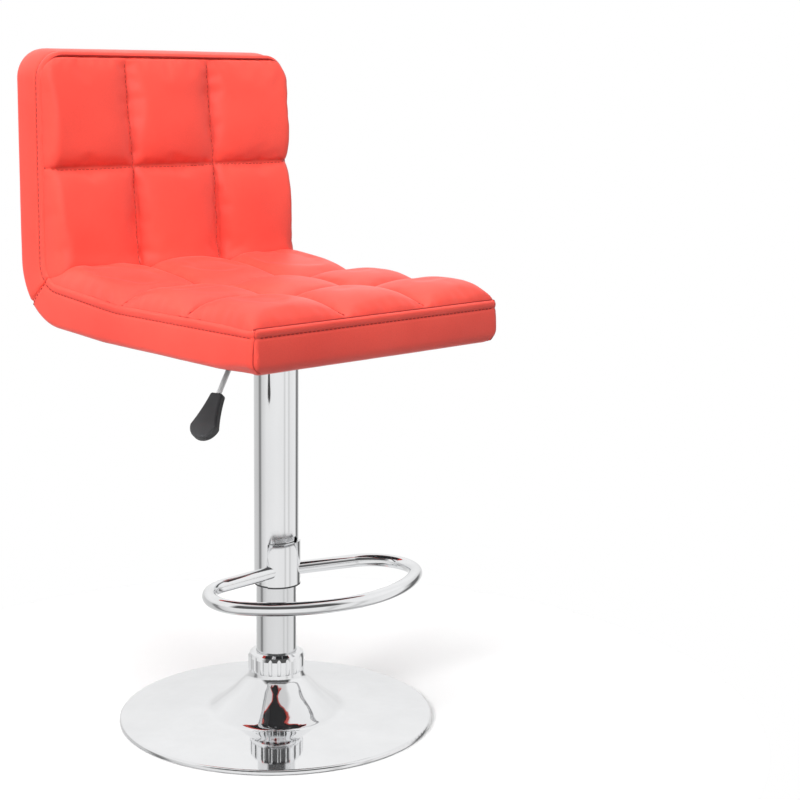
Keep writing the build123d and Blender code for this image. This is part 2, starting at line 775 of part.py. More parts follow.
for side_name, side_sign in (("left", 1), ("right", -1)):
    with BuildPart() as seat_side:
        with BuildSketch(Plane.YZ.offset(side_sign * (seat_half_width - border_thickness / 2))):
            add(side_profile())
            add(below_diagonal(crease_sum), mode=Mode.INTERSECT)
            add(side_box(side_start, side_reach, side_reach, back_top), mode=Mode.INTERSECT)
        extrude(amount=border_thickness / 2, both=True)
    save(f"seat_border_{side_name}", seat_side.part)
    with BuildPart() as back_side:
        with BuildSketch(Plane.YZ.offset(side_sign * (seat_half_width - border_thickness / 2))):
            add(side_profile())
            add(below_diagonal(crease_sum), mode=Mode.SUBTRACT)
            add(side_box(rear_cover_start, side_reach, side_reach, side_end), mode=Mode.INTERSECT)
        extrude(amount=border_thickness / 2, both=True)
    save(f"back_border_{side_name}", back_side.part)


def border_strip(reach, rise, corner_radius, start):
    """Strip that runs along one edge and turns round both of its corners."""
    inner_radius = corner_radius - border_thickness
    inner_reach = reach - border_thickness
    inner_rise = rise - border_thickness
    with BuildSketch() as sketch:
        with BuildLine():
            outer = FilletPolyline((-reach, start), (-reach, rise), (reach, rise), (reach, start),
                                   radius=corner_radius)
            inner = FilletPolyline((-inner_reach, start), (-inner_reach, inner_rise),
                                   (inner_reach, inner_rise), (inner_reach, start), radius=inner_radius)
            Line(outer @ 0, inner @ 0)
            Line(outer @ 1, inner @ 1)
        make_face()
    return sketch.sketch_local


with BuildPart() as front_border:
    with BuildSketch(Plane(origin=(0, 0, seat_underside), x_dir=(-1, 0, 0), z_dir=(0, 0, 1))):
        add(border_strip(seat_half_width, -seat_front, front_corner_radius, -side_start))
    extrude(amount=seat_seam_height - seat_underside)
save("front_border", front_border.part)

with BuildPart() as top_border:
    with BuildSketch(Plane(origin=(0, back_face, 0), x_dir=(-1, 0, 0), z_dir=(0, 1, 0))):
        add(border_strip(seat_half_width, back_top, back_corner_radius, side_end))
    extrude(amount=seat_rear - back_face)
save("top_border", top_border.part)
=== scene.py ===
import bmesh
import bpy
import json
import math
import numpy as np
from mathutils import Matrix, Vector


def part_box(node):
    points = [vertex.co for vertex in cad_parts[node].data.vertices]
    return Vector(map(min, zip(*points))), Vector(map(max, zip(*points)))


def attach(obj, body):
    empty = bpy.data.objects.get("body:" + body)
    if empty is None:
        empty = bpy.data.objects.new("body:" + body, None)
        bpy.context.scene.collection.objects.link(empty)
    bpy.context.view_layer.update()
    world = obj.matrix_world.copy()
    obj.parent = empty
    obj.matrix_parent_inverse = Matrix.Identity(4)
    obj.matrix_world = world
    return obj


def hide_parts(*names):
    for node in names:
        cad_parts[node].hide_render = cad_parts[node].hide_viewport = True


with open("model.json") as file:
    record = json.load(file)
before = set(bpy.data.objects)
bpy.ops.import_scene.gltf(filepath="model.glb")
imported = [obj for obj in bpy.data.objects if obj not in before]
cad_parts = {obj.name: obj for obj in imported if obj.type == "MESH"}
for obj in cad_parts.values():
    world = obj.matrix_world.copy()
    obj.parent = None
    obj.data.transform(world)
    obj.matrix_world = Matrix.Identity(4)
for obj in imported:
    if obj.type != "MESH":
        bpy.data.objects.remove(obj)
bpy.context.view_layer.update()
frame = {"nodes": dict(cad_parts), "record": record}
nodes = frame["nodes"]

# ---- sizes, read from the frame (metres) ---------------------------------------------------
front_low, front_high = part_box("front_border")
top_low, top_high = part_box("top_border")
HALF = front_high.x              # half width over the side borders
FRONT = front_low.y              # front face of the seat
UNDER = front_low.z              # underside of the seat
SEAM = front_high.z              # seam round the top of the seat
FACE = top_low.y                 # seam round the front of the back
REAR = top_high.y                # rear face of the back
TOP = top_high.z                 # top of the back
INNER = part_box("seat_cushion")[1].x     # half width of the quilted faces

# Side view of the L: knees and radii, the same as the frame's own outline.
KNEE_Y, CORNER_Z = 0.088, UNDER + 0.0116
REAR_RADIUS, CREASE_RADIUS = 0.078, 0.024
SEAM_KNEE_Y, SEAM_KNEE_Z, CREASE_Z = 0.060, SEAM + 0.002, SEAM + 0.0165
TOP_CORNER = 0.033
COLUMNS = 3                      # columns of quilted squares
RIPPLE_PITCH = 28.0              # longest wave of the surface ripples, in radians per metre


# ---- small helpers -------------------------------------------------------------------------
def unit(vectors):
    return vectors / np.maximum(np.linalg.norm(vectors, axis=-1, keepdims=True), 1e-12)


def smooth(edge0, edge1, x):
    t = np.clip((x - edge0) / (edge1 - edge0), 0.0, 1.0)
    return t * t * (3 - 2 * t)


def ripple(x, y, seed):
    """Smooth repeatable noise from a few sines, about -1 to 1."""
    rng = np.random.default_rng(seed)
    total = np.zeros_like(np.asarray(x, float) + np.asarray(y, float))
    for octave in range(5):
        for _ in range(3):
            turn = rng.uniform(0, math.tau)
            pitch = RIPPLE_PITCH * 1.8**octave
            phase = rng.uniform(0, math.tau)
            wave = np.sin(pitch * (np.cos(turn) * x + np.sin(turn) * y) + phase)
            total = total + wave / (3 * 1.7**octave)
    return total / 1.6


def add_mesh(name, points, faces, material, smooth_shade=True):
    mesh = bpy.data.meshes.new(name)
    mesh.from_pydata([tuple(p) for p in points], [], [tuple(f) for f in faces])
    mesh.update()
    piece = bpy.data.objects.new(name, mesh)
    bpy.context.scene.collection.objects.link(piece)
    mesh.materials.append(material)
    mesh.polygons.foreach_set("use_smooth", [smooth_shade] * len(mesh.polygons))
    return piece


def grid_faces(rows, cols, start=0, flip=False):
    index = start + np.arange(rows * cols).reshape(rows, cols)
    quads = np.stack([index[:-1, :-1], index[1:, :-1], index[1:, 1:], index[:-1, 1:]], -1).reshape(-1, 4)
    return quads[:, ::-1] if flip else quads


def grid_normals(points):
    """Normals of a grid of points, one for each point."""
    along = np.gradient(points, axis=0)
    across = np.gradient(points, axis=1)
    return unit(np.cross(along, across))


def closed_sheet(name, outer, inner, material):
    """A closed piece between an outer and an inner grid of the same size."""
    rows, cols = outer.shape[:2]
    count = rows * cols
    points = np.concatenate([outer.reshape(-1, 3), inner.reshape(-1, 3)])
    index = np.arange(count).reshape(rows, cols)
    rim = np.concatenate([index[0, :-1], index[:-1, -1], index[-1, :0:-1], index[:0:-1, 0]])
    after = np.roll(rim, -1)
    walls = np.stack([rim, after, after + count, rim + count], -1)
    faces = np.concatenate([grid_faces(rows, cols), grid_faces(rows, cols, count, True), walls])
    piece = add_mesh(name, points, faces, material)
    work = bmesh.new()
    work.from_mesh(piece.data)
    bmesh.ops.recalc_face_normals(work, faces=work.faces)
    work.to_mesh(piece.data)
    work.free()
    return piece


def edge_drop(distances, radii):
    """How far a surface rolls in near its edges: a quarter round of the given radius at each edge."""
    share = [np.clip(1 - d / r, 0, 1) for d, r in zip(distances, radii) if r > 0]
    size = [r for r in radii if r > 0]
    total = np.sqrt(sum(s * s for s in share))
    weight = sum(s * s for s in share) + 1e-12
    radius = sum(s * s * r for s, r in zip(share, size)) / weight
    return radius * (1 - np.sqrt(np.clip(1 - np.clip(total, 0, 1) ** 2, 0, 1)))


def lengths(points):
    """Running length along a polyline."""
    steps = np.linalg.norm(np.diff(points, axis=0), axis=1)
    return np.concatenate([[0.0], np.cumsum(steps)])


# ---- materials -----------------------------------------------------------------------------
def new_material(name, **sockets):
    material = bpy.data.materials.new(name)
    material.use_nodes = True
    shader = material.node_tree.nodes["Principled BSDF"]
    for key, value in sockets.items():
        shader.inputs[key.replace("_", " ")].default_value = value
    return material, material.node_tree, shader


def node(tree, kind, **settings):
    made = tree.nodes.new(kind)
    for key, value in settings.items():
        if key in made.inputs:
            made.inputs[key].default_value = value
        else:
            setattr(made, key, value)
    return made


def object_space(tree, scale=(1, 1, 1)):
    coords = node(tree, "ShaderNodeTexCoord")
    mapping = node(tree, "ShaderNodeMapping")
    mapping.inputs["Scale"].default_value = scale
    tree.links.new(coords.outputs["Object"], mapping.inputs["Vector"])
    return mapping.outputs["Vector"]


def ramp(tree, source, stops):
    made = node(tree, "ShaderNodeValToRGB")
    while len(made.color_ramp.elements) < len(stops):
        made.color_ramp.elements.new(0.5)
    for element, (place, colour) in zip(made.color_ramp.elements, stops):
        element.position = place
        element.color = colour
    tree.links.new(source, made.inputs["Fac"])
    return made.outputs["Color"]


def bump(tree, shader, height, strength, distance, before=None):
    made = node(tree, "ShaderNodeBump", Strength=strength, Distance=distance)
    tree.links.new(height, made.inputs["Height"])
    if before is not None:
        tree.links.new(before, made.inputs["Normal"])
    tree.links.new(made.outputs["Normal"], shader.inputs["Normal"])
    return made.outputs["Normal"]


def leather(name, deep, light, grain=1.0):
    """Faux leather: pebbled grain, faint pores, slow colour drift and a soft gloss."""
    material, tree, shader = new_material(name, Roughness=0.46, Specular_IOR_Level=0.42,
                                          Coat_Weight=0.06)
    shader.inputs["Coat Roughness"].default_value = 0.35
    shader.inputs["Sheen Weight"].default_value = 0.05
    space = object_space(tree)
    drift = node(tree, "ShaderNodeTexNoise", Scale=9.0, Detail=3.0, Roughness=0.5)
    tree.links.new(space, drift.inputs["Vector"])
    tint = ramp(tree, drift.outputs["Fac"], [(0.30, deep), (0.72, light)])
    pebble = node(tree, "ShaderNodeTexVoronoi", Scale=760.0)
    pebble.feature = "SMOOTH_F1"
    warp = node(tree, "ShaderNodeTexNoise", Scale=260.0, Detail=2.0)
    tree.links.new(space, warp.inputs["Vector"])
    shift = node(tree, "ShaderNodeMix", data_type="VECTOR")
    shift.inputs["Factor"].default_value = 0.0016
    tree.links.new(space, shift.inputs[4])
    tree.links.new(warp.outputs["Color"], shift.inputs[5])
    tree.links.new(shift.outputs[1], pebble.inputs["Vector"])
    pores = ramp(tree, pebble.outputs["Distance"], [(0.0, (1, 1, 1, 1)), (0.75, (0.78, 0.78, 0.78, 1))])
    tone = node(tree, "ShaderNodeMix", data_type="RGBA", blend_type="MULTIPLY")
    tone.inputs["Factor"].default_value = 0.35
    tree.links.new(tint, tone.inputs[6])
    tree.links.new(pores, tone.inputs[7])
    tree.links.new(tone.outputs[2], shader.inputs["Base Color"])
    wear = node(tree, "ShaderNodeTexNoise", Scale=34.0, Detail=4.0)
    tree.links.new(space, wear.inputs["Vector"])
    gloss = node(tree, "ShaderNodeMapRange")
    gloss.inputs["To Min"].default_value = 0.38
    gloss.inputs["To Max"].default_value = 0.55
    tree.links.new(wear.outputs["Fac"], gloss.inputs["Value"])
    tree.links.new(gloss.outputs["Result"], shader.inputs["Roughness"])
    first = bump(tree, shader, pebble.outputs["Distance"], 0.16 * grain, 0.0005)
    soft = node(tree, "ShaderNodeTexNoise", Scale=48.0, Detail=5.0)
    tree.links.new(space, soft.inputs["Vector"])
    bump(tree, shader, soft.outputs["Fac"], 0.10, 0.0012, first)
    return material


def thread(name, colour):
    """Twisted sewing thread."""
    material, tree, shader = new_material(name, Roughness=0.62)
    space = object_space(tree)
    twist = node(tree, "ShaderNodeTexWave", Scale=900.0, Distortion=1.5)
    tree.links.new(space, twist.inputs["Vector"])
    dark = tuple(c * 0.6 for c in colour[:3]) + (1,)
    tint = ramp(tree, twist.outputs["Fac"], [(0.1, dark), (0.8, colour)])
    tree.links.new(tint, shader.inputs["Base Color"])
    bump(tree, shader, twist.outputs["Fac"], 0.4, 0.0003)
    return material


def metal(name, colour, low, high, streak=(1, 1, 1), marks=0.02, metallic=1.0):
    """Bare or plated metal with faint polishing marks and uneven gloss."""
    material, tree, shader = new_material(name, Metallic=metallic)
    space = object_space(tree, streak)
    cloud = node(tree, "ShaderNodeTexNoise", Scale=14.0, Detail=5.0, Roughness=0.6)
    tree.links.new(space, cloud.inputs["Vector"])
    gloss = node(tree, "ShaderNodeMapRange")
    gloss.inputs["To Min"].default_value = low
    gloss.inputs["To Max"].default_value = high
    tree.links.new(cloud.outputs["Fac"], gloss.inputs["Value"])
    tree.links.new(gloss.outputs["Result"], shader.inputs["Roughness"])
    dull = tuple(c * 0.93 for c in colour[:3]) + (1,)
    tint = ramp(tree, cloud.outputs["Fac"], [(0.25, dull), (0.7, colour)])
    tree.links.new(tint, shader.inputs["Base Color"])
    fine = node(tree, "ShaderNodeTexNoise", Scale=420.0, Detail=3.0)
    tree.links.new(space, fine.inputs["Vector"])
    bump(tree, shader, fine.outputs["Fac"], marks, 0.0002)
    return material


def moulded(name, colour, roughness, grain, depth):
    """Moulded plastic, rubber or powder coat: fine pitted texture."""
    material, tree, shader = new_material(name, Specular_IOR_Level=0.45)
    space = object_space(tree)
    cloud = node(tree, "ShaderNodeTexNoise", Scale=18.0, Detail=4.0)
    tree.links.new(space, cloud.inputs["Vector"])
    light = tuple(min(c * 1.5 + 0.004, 1) for c in colour[:3]) + (1,)
    tint = ramp(tree, cloud.outputs["Fac"], [(0.3, colour), (0.75, light)])
    tree.links.new(tint, shader.inputs["Base Color"])
    gloss = node(tree, "ShaderNodeMapRange")
    gloss.inputs["To Min"].default_value = roughness - 0.07
    gloss.inputs["To Max"].default_value = roughness + 0.08
    tree.links.new(cloud.outputs["Fac"], gloss.inputs["Value"])
    tree.links.new(gloss.outputs["Result"], shader.inputs["Roughness"])
    pits = node(tree, "ShaderNodeTexNoise", Scale=grain, Detail=3.0)
    tree.links.new(space, pits.inputs["Vector"])
    bump(tree, shader, pits.outputs["Fac"], depth, 0.0003)
    return material


def plywood(name):
    """Birch plywood: long grain on the faces."""
    material, tree, shader = new_material(name, Roughness=0.6)
    space = object_space(tree, (60, 3, 3))
    grain = node(tree, "ShaderNodeTexNoise", Scale=6.0, Detail=6.0, Roughness=0.65)
    tree.links.new(space, grain.inputs["Vector"])
    tint = ramp(tree, grain.outputs["Fac"], [(0.3, (0.42, 0.25, 0.12, 1)), (0.7, (0.66, 0.46, 0.27, 1))])
    tree.links.new(tint, shader.inputs["Base Color"])
    bump(tree, shader, grain.outputs["Fac"], 0.25, 0.0006)
    return material


def dust_cloth(name):
    """Black non-woven dust cloth with a pressed dot pattern."""
    material, tree, shader = new_material(name, Roughness=0.9)
    space = object_space(tree)
    dots = node(tree, "ShaderNodeTexVoronoi", Scale=420.0, Randomness=0.0)
    tree.links.new(space, dots.inputs["Vector"])
    tint = ramp(tree, dots.outputs["Distance"],
                [(0.2, (0.010, 0.010, 0.011, 1)), (0.6, (0.035, 0.035, 0.037, 1))])
    tree.links.new(tint, shader.inputs["Base Color"])
    bump(tree, shader, dots.outputs["Distance"], 0.5, 0.0004)
    return material


CORAL = leather("coral_leather", (0.74, 0.062, 0.043, 1), (0.84, 0.080, 0.055, 1))
# This thread colour is also used for the seam cords, where it is painted shade.
THREAD_AND_SEAM_SHADE = thread("red_thread_and_seam_shade", (0.40, 0.022, 0.018, 1))
CHROME = metal("polished_chrome", (0.90, 0.905, 0.915, 1), 0.03, 0.075, (1, 1, 0.3), 0.006)
TUBE_CHROME = metal("satin_chrome", (0.80, 0.805, 0.815, 1), 0.10, 0.17, (1, 1, 0.3), 0.01)
COVER_CHROME = metal("column_chrome", (0.92, 0.925, 0.935, 1), 0.075, 0.12, (1, 1, 0.3), 0.006)
# The lever rod is only 30% metallic, so its pale diffuse colour is a painted reflection: it stays bright
# where real chrome would mirror the dark underside of the seat.
ROD_CHROME_PAINTED_REFLECTION = metal("rod_chrome_painted_reflection", (0.88, 0.885, 0.89, 1), 0.38, 0.48, (1, 1, 0.3), 0.01, 0.30)
STEEL = metal("zinc_steel", (0.62, 0.63, 0.65, 1), 0.24, 0.40, (1, 1, 4), 0.12)
IRON = moulded("cast_iron_skin", (0.09, 0.09, 0.095, 1), 0.62, 300.0, 0.45)
COAT = moulded("black_powder_coat", (0.018, 0.018, 0.020, 1), 0.42, 900.0, 0.30)
RUBBER = moulded("black_rubber", (0.014, 0.014, 0.014, 1), 0.72, 500.0, 0.20)
PLASTIC = moulded("black_plastic", (0.036, 0.036, 0.038, 1), 0.45, 1100.0, 0.28)
PLY = plywood("birch_plywood")
CLOTH = dust_cloth("dust_cloth")

SLOT_MATERIAL = {
    "polished_chrome": CHROME,
    "bare_steel": STEEL,
    "black_steel": COAT,
    "grey_iron": IRON,
    "soft_rubber": RUBBER,
    "black_plastic": PLASTIC,
    "plywood": PLY,
    "coral_upholstery": CORAL,
    "dust_cover_cloth": CLOTH,
}
for row in frame["record"]["subparts"]:
    cad_node = nodes[row["node"]]
    cad_node.data.materials.clear()
    cad_node.data.materials.append(SLOT_MATERIAL[row["material_slot"]])
nodes["stand_tube"].data.materials[0] = TUBE_CHROME
nodes["lever_rod"].data.materials[0] = ROD_CHROME_PAINTED_REFLECTION
nodes["cover_tube"].data.materials[0] = COVER_CHROME


# ---- side view of the seat -----------------------------------------------------------------
def corner_arc(before, corner, after, radius, count):
    """Points of the arc that rounds a corner, from one tangent point to the other."""
    before, corner, after = (np.array(p, float) for p in (before, corner, after))
    first, second = unit(before - corner), unit(after - corner)
    half = math.acos(float(np.clip(first @ second, -1, 1))) / 2
    tangent = radius / math.tan(half)
    centre = corner + unit(first + second) * radius / math.sin(half)
    start, end = corner + first * tangent, corner + second * tangent
    a0 = math.atan2(*(start - centre)[::-1])
    a1 = math.atan2(*(end - centre)[::-1])
    a1 = a0 + (a1 - a0 + math.pi) % math.tau - math.pi
    angles = np.linspace(a0, a1, count)
    return centre + radius * np.stack([np.cos(angles), np.sin(angles)], -1)


SEAT_STEPS, BEND_STEPS, BACK_STEPS = 64, 25, 44
crease_arc = corner_arc((SEAM_KNEE_Y, SEAM_KNEE_Z), (FACE, CREASE_Z), (FACE, TOP), CREASE_RADIUS, BEND_STEPS)
rear_arc = corner_arc((KNEE_Y, UNDER), (REAR, CORNER_Z), (REAR, TOP), REAR_RADIUS, BEND_STEPS)


def line_points(knots, count):
    """Evenly spaced points along a polyline."""
    knots = np.array(knots, float)
    run = lengths(knots)
    steps = np.linspace(0, run[-1], count)
    return np.stack([np.interp(steps, run, knots[:, k]) for k in range(2)], -1)


seat_seam_line = line_points([(FRONT, SEAM), (SEAM_KNEE_Y, SEAM_KNEE_Z), crease_arc[0]], SEAT_STEPS)
seat_low_line = line_points([(FRONT, UNDER), (KNEE_Y, UNDER), rear_arc[0]], SEAT_STEPS)
FRONT_SAG = 0.006      # the cover hangs this much lower along the front edge
SAG_MIDDLE, SAG_REACH = 0.0022, 0.16     # and this much lower, this far behind it
sag = np.interp(seat_low_line[:, 0], [FRONT, FRONT + SAG_REACH, KNEE_Y], [FRONT_SAG, SAG_MIDDLE, 0.0])
seat_low_line[:, 1] -= sag
arc_top = TOP - TOP_CORNER
back_seam_line = line_points([crease_arc[-1], (FACE, arc_top)], BACK_STEPS)
back_rear_line = line_points([rear_arc[-1], (REAR, arc_top)], BACK_STEPS)
MIDDLE = BEND_STEPS // 2


def seam_height(y):
    """Height of the seam along the side of the seat."""
    line = np.concatenate([seat_seam_line, crease_arc[1:MIDDLE + 1]])
    return np.interp(y, line[:, 0], line[:, 1])


# ---- borders -------------------------------------------------------------------------------
BAND = 0.0095          # from the seam to the row of topstitching
SEAM_ROLL = 0.0035     # how tightly a border turns in at the face seam
ACROSS = 40            # points across a border
BORDER_THICKNESS = 0.005
BAND_RISE = 0.0007     # how far the band along the seam stands out
GROOVE_DEPTH, GROOVE_WIDTH = 0.0011, 0.0013     # the row of topstitching pulls the cover in
SIDE_SWELL, TOP_SWELL = 0.0024, 0.0018          # fullness of a border, and more where it faces up
BORDER_RIPPLE = 0.00035
OUTER_ROLL = 0.0025    # how tightly a border turns in at its other edge


def across_border(inner, outer, normal, rear_roll):
    """Points across a border for each station: straight over the side, then round into the rear."""
    span = np.linalg.norm(outer - inner, axis=-1, keepdims=True)
    direction = (outer - inner) / span
    quarter = rear_roll * math.pi / 2
    total = span[:, 0] - rear_roll + quarter
    share = np.linspace(0, 1, ACROSS)
    share = 0.5 * share + 0.5 * (0.5 - 0.5 * np.cos(math.pi * share))
    run = total[:, None] * share[None, :]
    straight = (span[:, 0] - rear_roll)[:, None]
    turn = np.clip(run - straight, 0, None) / rear_roll[:, None]
    ahead = np.minimum(run, straight) + rear_roll[:, None] * np.sin(turn)
    inset = rear_roll[:, None] * (1 - np.cos(turn))
    base = inner[:, None] + direction[:, None] * ahead[..., None] - normal[:, None] * inset[..., None]
    facing = normal[:, None] * np.cos(turn)[..., None] + direction[:, None] * np.sin(turn)[..., None]
    band = BAND_RISE * (1 - ((run - BAND / 2) / (BAND / 2)) ** 2) * (run < BAND)
    groove = -GROOVE_DEPTH * np.exp(-(((run - BAND) / GROOVE_WIDTH) ** 2))
    puff = np.sin(math.pi * np.clip((run - BAND) / (total[:, None] - BAND), 0, 1)) ** 0.8
    fullness = SIDE_SWELL + TOP_SWELL * np.clip(normal[:, 2:], 0, 1)
    height = band + groove + fullness * puff
    return base, facing, run, total, height


CORNER_LOW, CORNER_HIGH = 0.016, 0.006    # radii of the front corners, at the underside and the seam
FADE_START, FADE_END = FRONT + 0.010, FRONT + 0.070     # where the rounding fades out along the side


def round_front(points):
    """Points of a border after its front corners are rounded, seen from the front."""
    fade = 1 - smooth(FADE_START, FADE_END, points[..., 1])
    side = np.sign(points[..., 0])
    moved = points.copy()
    for radius, edge, up in ((CORNER_LOW, UNDER - FRONT_SAG, 1), (CORNER_HIGH, SEAM, -1)):
        out = np.clip((np.abs(points[..., 0]) - HALF + radius) / radius, 0, 1)
        along = np.clip((edge - points[..., 2]) * up / radius + 1, 0, 1)
        moved[..., 0] -= side * radius * out * (1 - np.sqrt(1 - along**2 / 2)) * fade
        moved[..., 2] += up * radius * along * (1 - np.sqrt(1 - out**2 / 2)) * fade
    return moved


def make_border(name, inner, outer, normal, rear_roll, replaced, end_roll, seed):
    """A border piece between two lines, with its stitched band; returns what its stitches need."""
    base, facing, run, total, height = across_border(inner, outer, normal, rear_roll)
    middle = base[:, ACROSS // 2]
    along = lengths(middle)
    far = along[-1] - along
    along_grid = np.repeat(along[:, None], ACROSS, 1)
    far_grid = np.repeat(far[:, None], ACROSS, 1)
    ripples = BORDER_RIPPLE * ripple(along_grid, run, seed)
    drop = edge_drop([run, total[:, None] - run, along_grid, far_grid],
                     [SEAM_ROLL, OUTER_ROLL, *end_roll])
    outer_grid = round_front(base + facing * (height + ripples - drop)[..., None])
    inner_grid = round_front(base - facing * BORDER_THICKNESS)
    piece = closed_sheet(name, outer_grid, inner_grid, CORAL)
    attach(piece, "seat")
    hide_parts(*replaced)
    return {"grid": outer_grid, "facing": facing, "run": run}


SEAT_ROLL, BACK_ROLL, FRONT_ROLL = 0.009, 0.010, 0.013
borders = {}
bend_blend = smooth(0.0, 1.0, np.linspace(0, 1, BEND_STEPS))
bend_roll = SEAT_ROLL + (BACK_ROLL - SEAT_ROLL) * bend_blend


def with_x(points, x):
    return np.stack([np.full(len(points), x), points[:, 0], points[:, 1]], -1)


SIDE_FRONT = 0.0015    # the side border starts this far behind the front face
seat_inner = np.concatenate([seat_seam_line, crease_arc[1:MIDDLE + 1]])
seat_outer = np.concatenate([seat_low_line, rear_arc[1:MIDDLE + 1]])
seat_rolls = np.concatenate([np.full(SEAT_STEPS, SEAT_ROLL), bend_roll[1:MIDDLE + 1]])
seat_inner[0, 0] += SIDE_FRONT
seat_outer[0, 0] += SIDE_FRONT
for side, sign in (("left", 1), ("right", -1)):
    normal = np.tile([sign, 0.0, 0.0], (len(seat_inner), 1))
    borders["seat_" + side] = make_border(
        f"seat_border_{side}_cover", with_x(seat_inner, sign * HALF), with_x(seat_outer, sign * HALF),
        normal, seat_rolls, [f"seat_border_{side}"], end_roll=(0.0022, 0.002), seed=3 + sign)

# Back border: up one side from the diagonal seam, over the top and down the other side.
TOP_STEPS, TURN_STEPS = 60, 16
rise_inner = np.concatenate([crease_arc[MIDDLE:], back_seam_line[1:]])
rise_outer = np.concatenate([rear_arc[MIDDLE:], back_rear_line[1:]])
rise_rolls = np.concatenate([bend_roll[MIDDLE:], np.full(BACK_STEPS - 1, BACK_ROLL)])
turn_angles = np.linspace(0, math.pi / 2, TURN_STEPS)[1:]
turn_x = HALF - TOP_CORNER + TOP_CORNER * np.cos(turn_angles)
turn_z = arc_top + TOP_CORNER * np.sin(turn_angles)
flat_x = np.linspace(HALF - TOP_CORNER, -(HALF - TOP_CORNER), TOP_STEPS)[1:-1]


def back_station_rows():
    """Face line, rear line, normals and rear radii of the back border, station by station."""
    left = [with_x(rise_inner, HALF), with_x(rise_outer, HALF), np.tile([1.0, 0, 0], (len(rise_inner), 1))]
    turn_normal = np.stack([np.cos(turn_angles), 0 * turn_angles, np.sin(turn_angles)], -1)
    turn = [np.stack([turn_x, np.full(len(turn_x), y), turn_z], -1) for y in (FACE, REAR)] + [turn_normal]
    flat = [np.stack([flat_x, np.full(len(flat_x), y), np.full(len(flat_x), TOP)], -1) for y in (FACE, REAR)]
    flat.append(np.tile([0, 0, 1.0], (len(flat_x), 1)))
    mirror = np.array([-1.0, 1, 1])
    rows = []
    for k in range(3):
        half = np.concatenate([left[k], turn[k]])
        rows.append(np.concatenate([half, flat[k], (half * mirror)[::-1]]))
    rolls = np.concatenate([rise_rolls, np.full(TURN_STEPS - 1, BACK_ROLL)])
    rolls = np.concatenate([rolls, np.full(len(flat_x), BACK_ROLL), rolls[::-1]])
    return rows[0], rows[1], rows[2], rolls


back_inner, back_outer, back_normals, back_rolls = back_station_rows()
borders["back"] = make_border("back_border_cover", back_inner, back_outer, back_normals, back_rolls,
                              ["back_border_left", "back_border_right", "top_border"],
                              end_roll=(0.002, 0.002), seed=11)

# Front border, between the seams on the two front corners.
FRONT_STEPS = 120
front_end = HALF - 0.001
front_x = np.linspace(front_end, -front_end, FRONT_STEPS)
front_y = np.full(FRONT_STEPS, FRONT)
front_inner = np.stack([front_x, front_y, np.full(FRONT_STEPS, SEAM)], -1)
front_outer = np.stack([front_x, front_y, np.full(FRONT_STEPS, UNDER - FRONT_SAG)], -1)
borders["front"] = make_border("front_border_cover", front_inner, front_outer,
                               np.tile([0, -1.0, 0], (FRONT_STEPS, 1)), np.full(FRONT_STEPS, FRONT_ROLL),
                               ["front_border"], end_roll=(0.0022, 0.0022), seed=21)

# ---- rear cover ----------------------------------------------------------------------------
REAR_STEPS, REAR_ACROSS = 90, 70
REAR_SWELL, REAR_SWELL_REACH = 0.0035, 0.05
REAR_GROOVE = 0.0009
REAR_RIPPLE = 0.0004
REAR_EDGE_ROLL = 0.003
REAR_THICKNESS = 0.004
rear_end_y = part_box("rear_cover")[0].y
lower_run = rear_arc[:1]
if rear_end_y < rear_arc[0, 0]:
    rear_end_z = np.interp(rear_end_y, seat_low_line[:, 0], seat_low_line[:, 1])
    lower_run = line_points([(rear_end_y, rear_end_z), rear_arc[0]], 8)
rear_line = np.concatenate([lower_run[:-1], rear_arc, back_rear_line[1:], [[REAR, TOP - BACK_ROLL]]])
run = lengths(rear_line)
steps = np.linspace(0, run[-1], REAR_STEPS)
rear_line = np.stack([np.interp(steps, run, rear_line[:, k]) for k in range(2)], -1)
side_share = 0.5 - 0.5 * np.cos(math.pi * np.linspace(0, 1, REAR_ACROSS))
side_share = 0.5 * side_share + 0.5 * np.linspace(0, 1, REAR_ACROSS)
rear_rolls = np.interp(rear_line[:, 1], [rear_arc[0, 1], rear_arc[-1, 1]], [SEAT_ROLL, BACK_ROLL])
above = np.clip(rear_line[:, 1] - arc_top, 0, None)
corner_inner = TOP_CORNER - BACK_ROLL
width_here = HALF - rear_rolls - corner_inner + np.sqrt(np.clip(corner_inner**2 - above**2, 0, None))
rear_x = width_here[:, None] * (2 * side_share - 1)[None, :]
rear_base = np.stack([rear_x, np.repeat(rear_line[:, :1], REAR_ACROSS, 1),
                      np.repeat(rear_line[:, 1:], REAR_ACROSS, 1)], -1)
tangent = np.gradient(rear_line, axis=0)
outward = unit(np.stack([tangent[:, 1], -tangent[:, 0]], -1))
outward = np.stack([0 * outward[:, 0], outward[:, 0], outward[:, 1]], -1)
rear_facing = np.repeat(outward[:, None], REAR_ACROSS, 1)
rear_run = np.repeat(lengths(rear_line)[:, None], REAR_ACROSS, 1)
edge_gap = width_here[:, None] - np.abs(rear_x)
end_gap = rear_run[-1, 0] - rear_run
rear_drop = edge_drop([edge_gap, end_gap], [REAR_EDGE_ROLL, REAR_EDGE_ROLL])
near_edge = np.minimum(edge_gap, end_gap)
rear_groove = REAR_GROOVE * np.exp(-(((near_edge - BAND) / GROOVE_WIDTH) ** 2))
rear_height = REAR_SWELL * smooth(0, REAR_SWELL_REACH, near_edge) - rear_groove
rear_height = rear_height + REAR_RIPPLE * ripple(rear_x, rear_run, 31)
rear_outer = rear_base + rear_facing * (rear_height - rear_drop)[..., None]
rear_inner = rear_base - rear_facing * REAR_THICKNESS
rear_piece = closed_sheet("rear_cover_sewn", rear_outer, rear_inner, CORAL)
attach(rear_piece, "seat")
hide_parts("rear_cover")


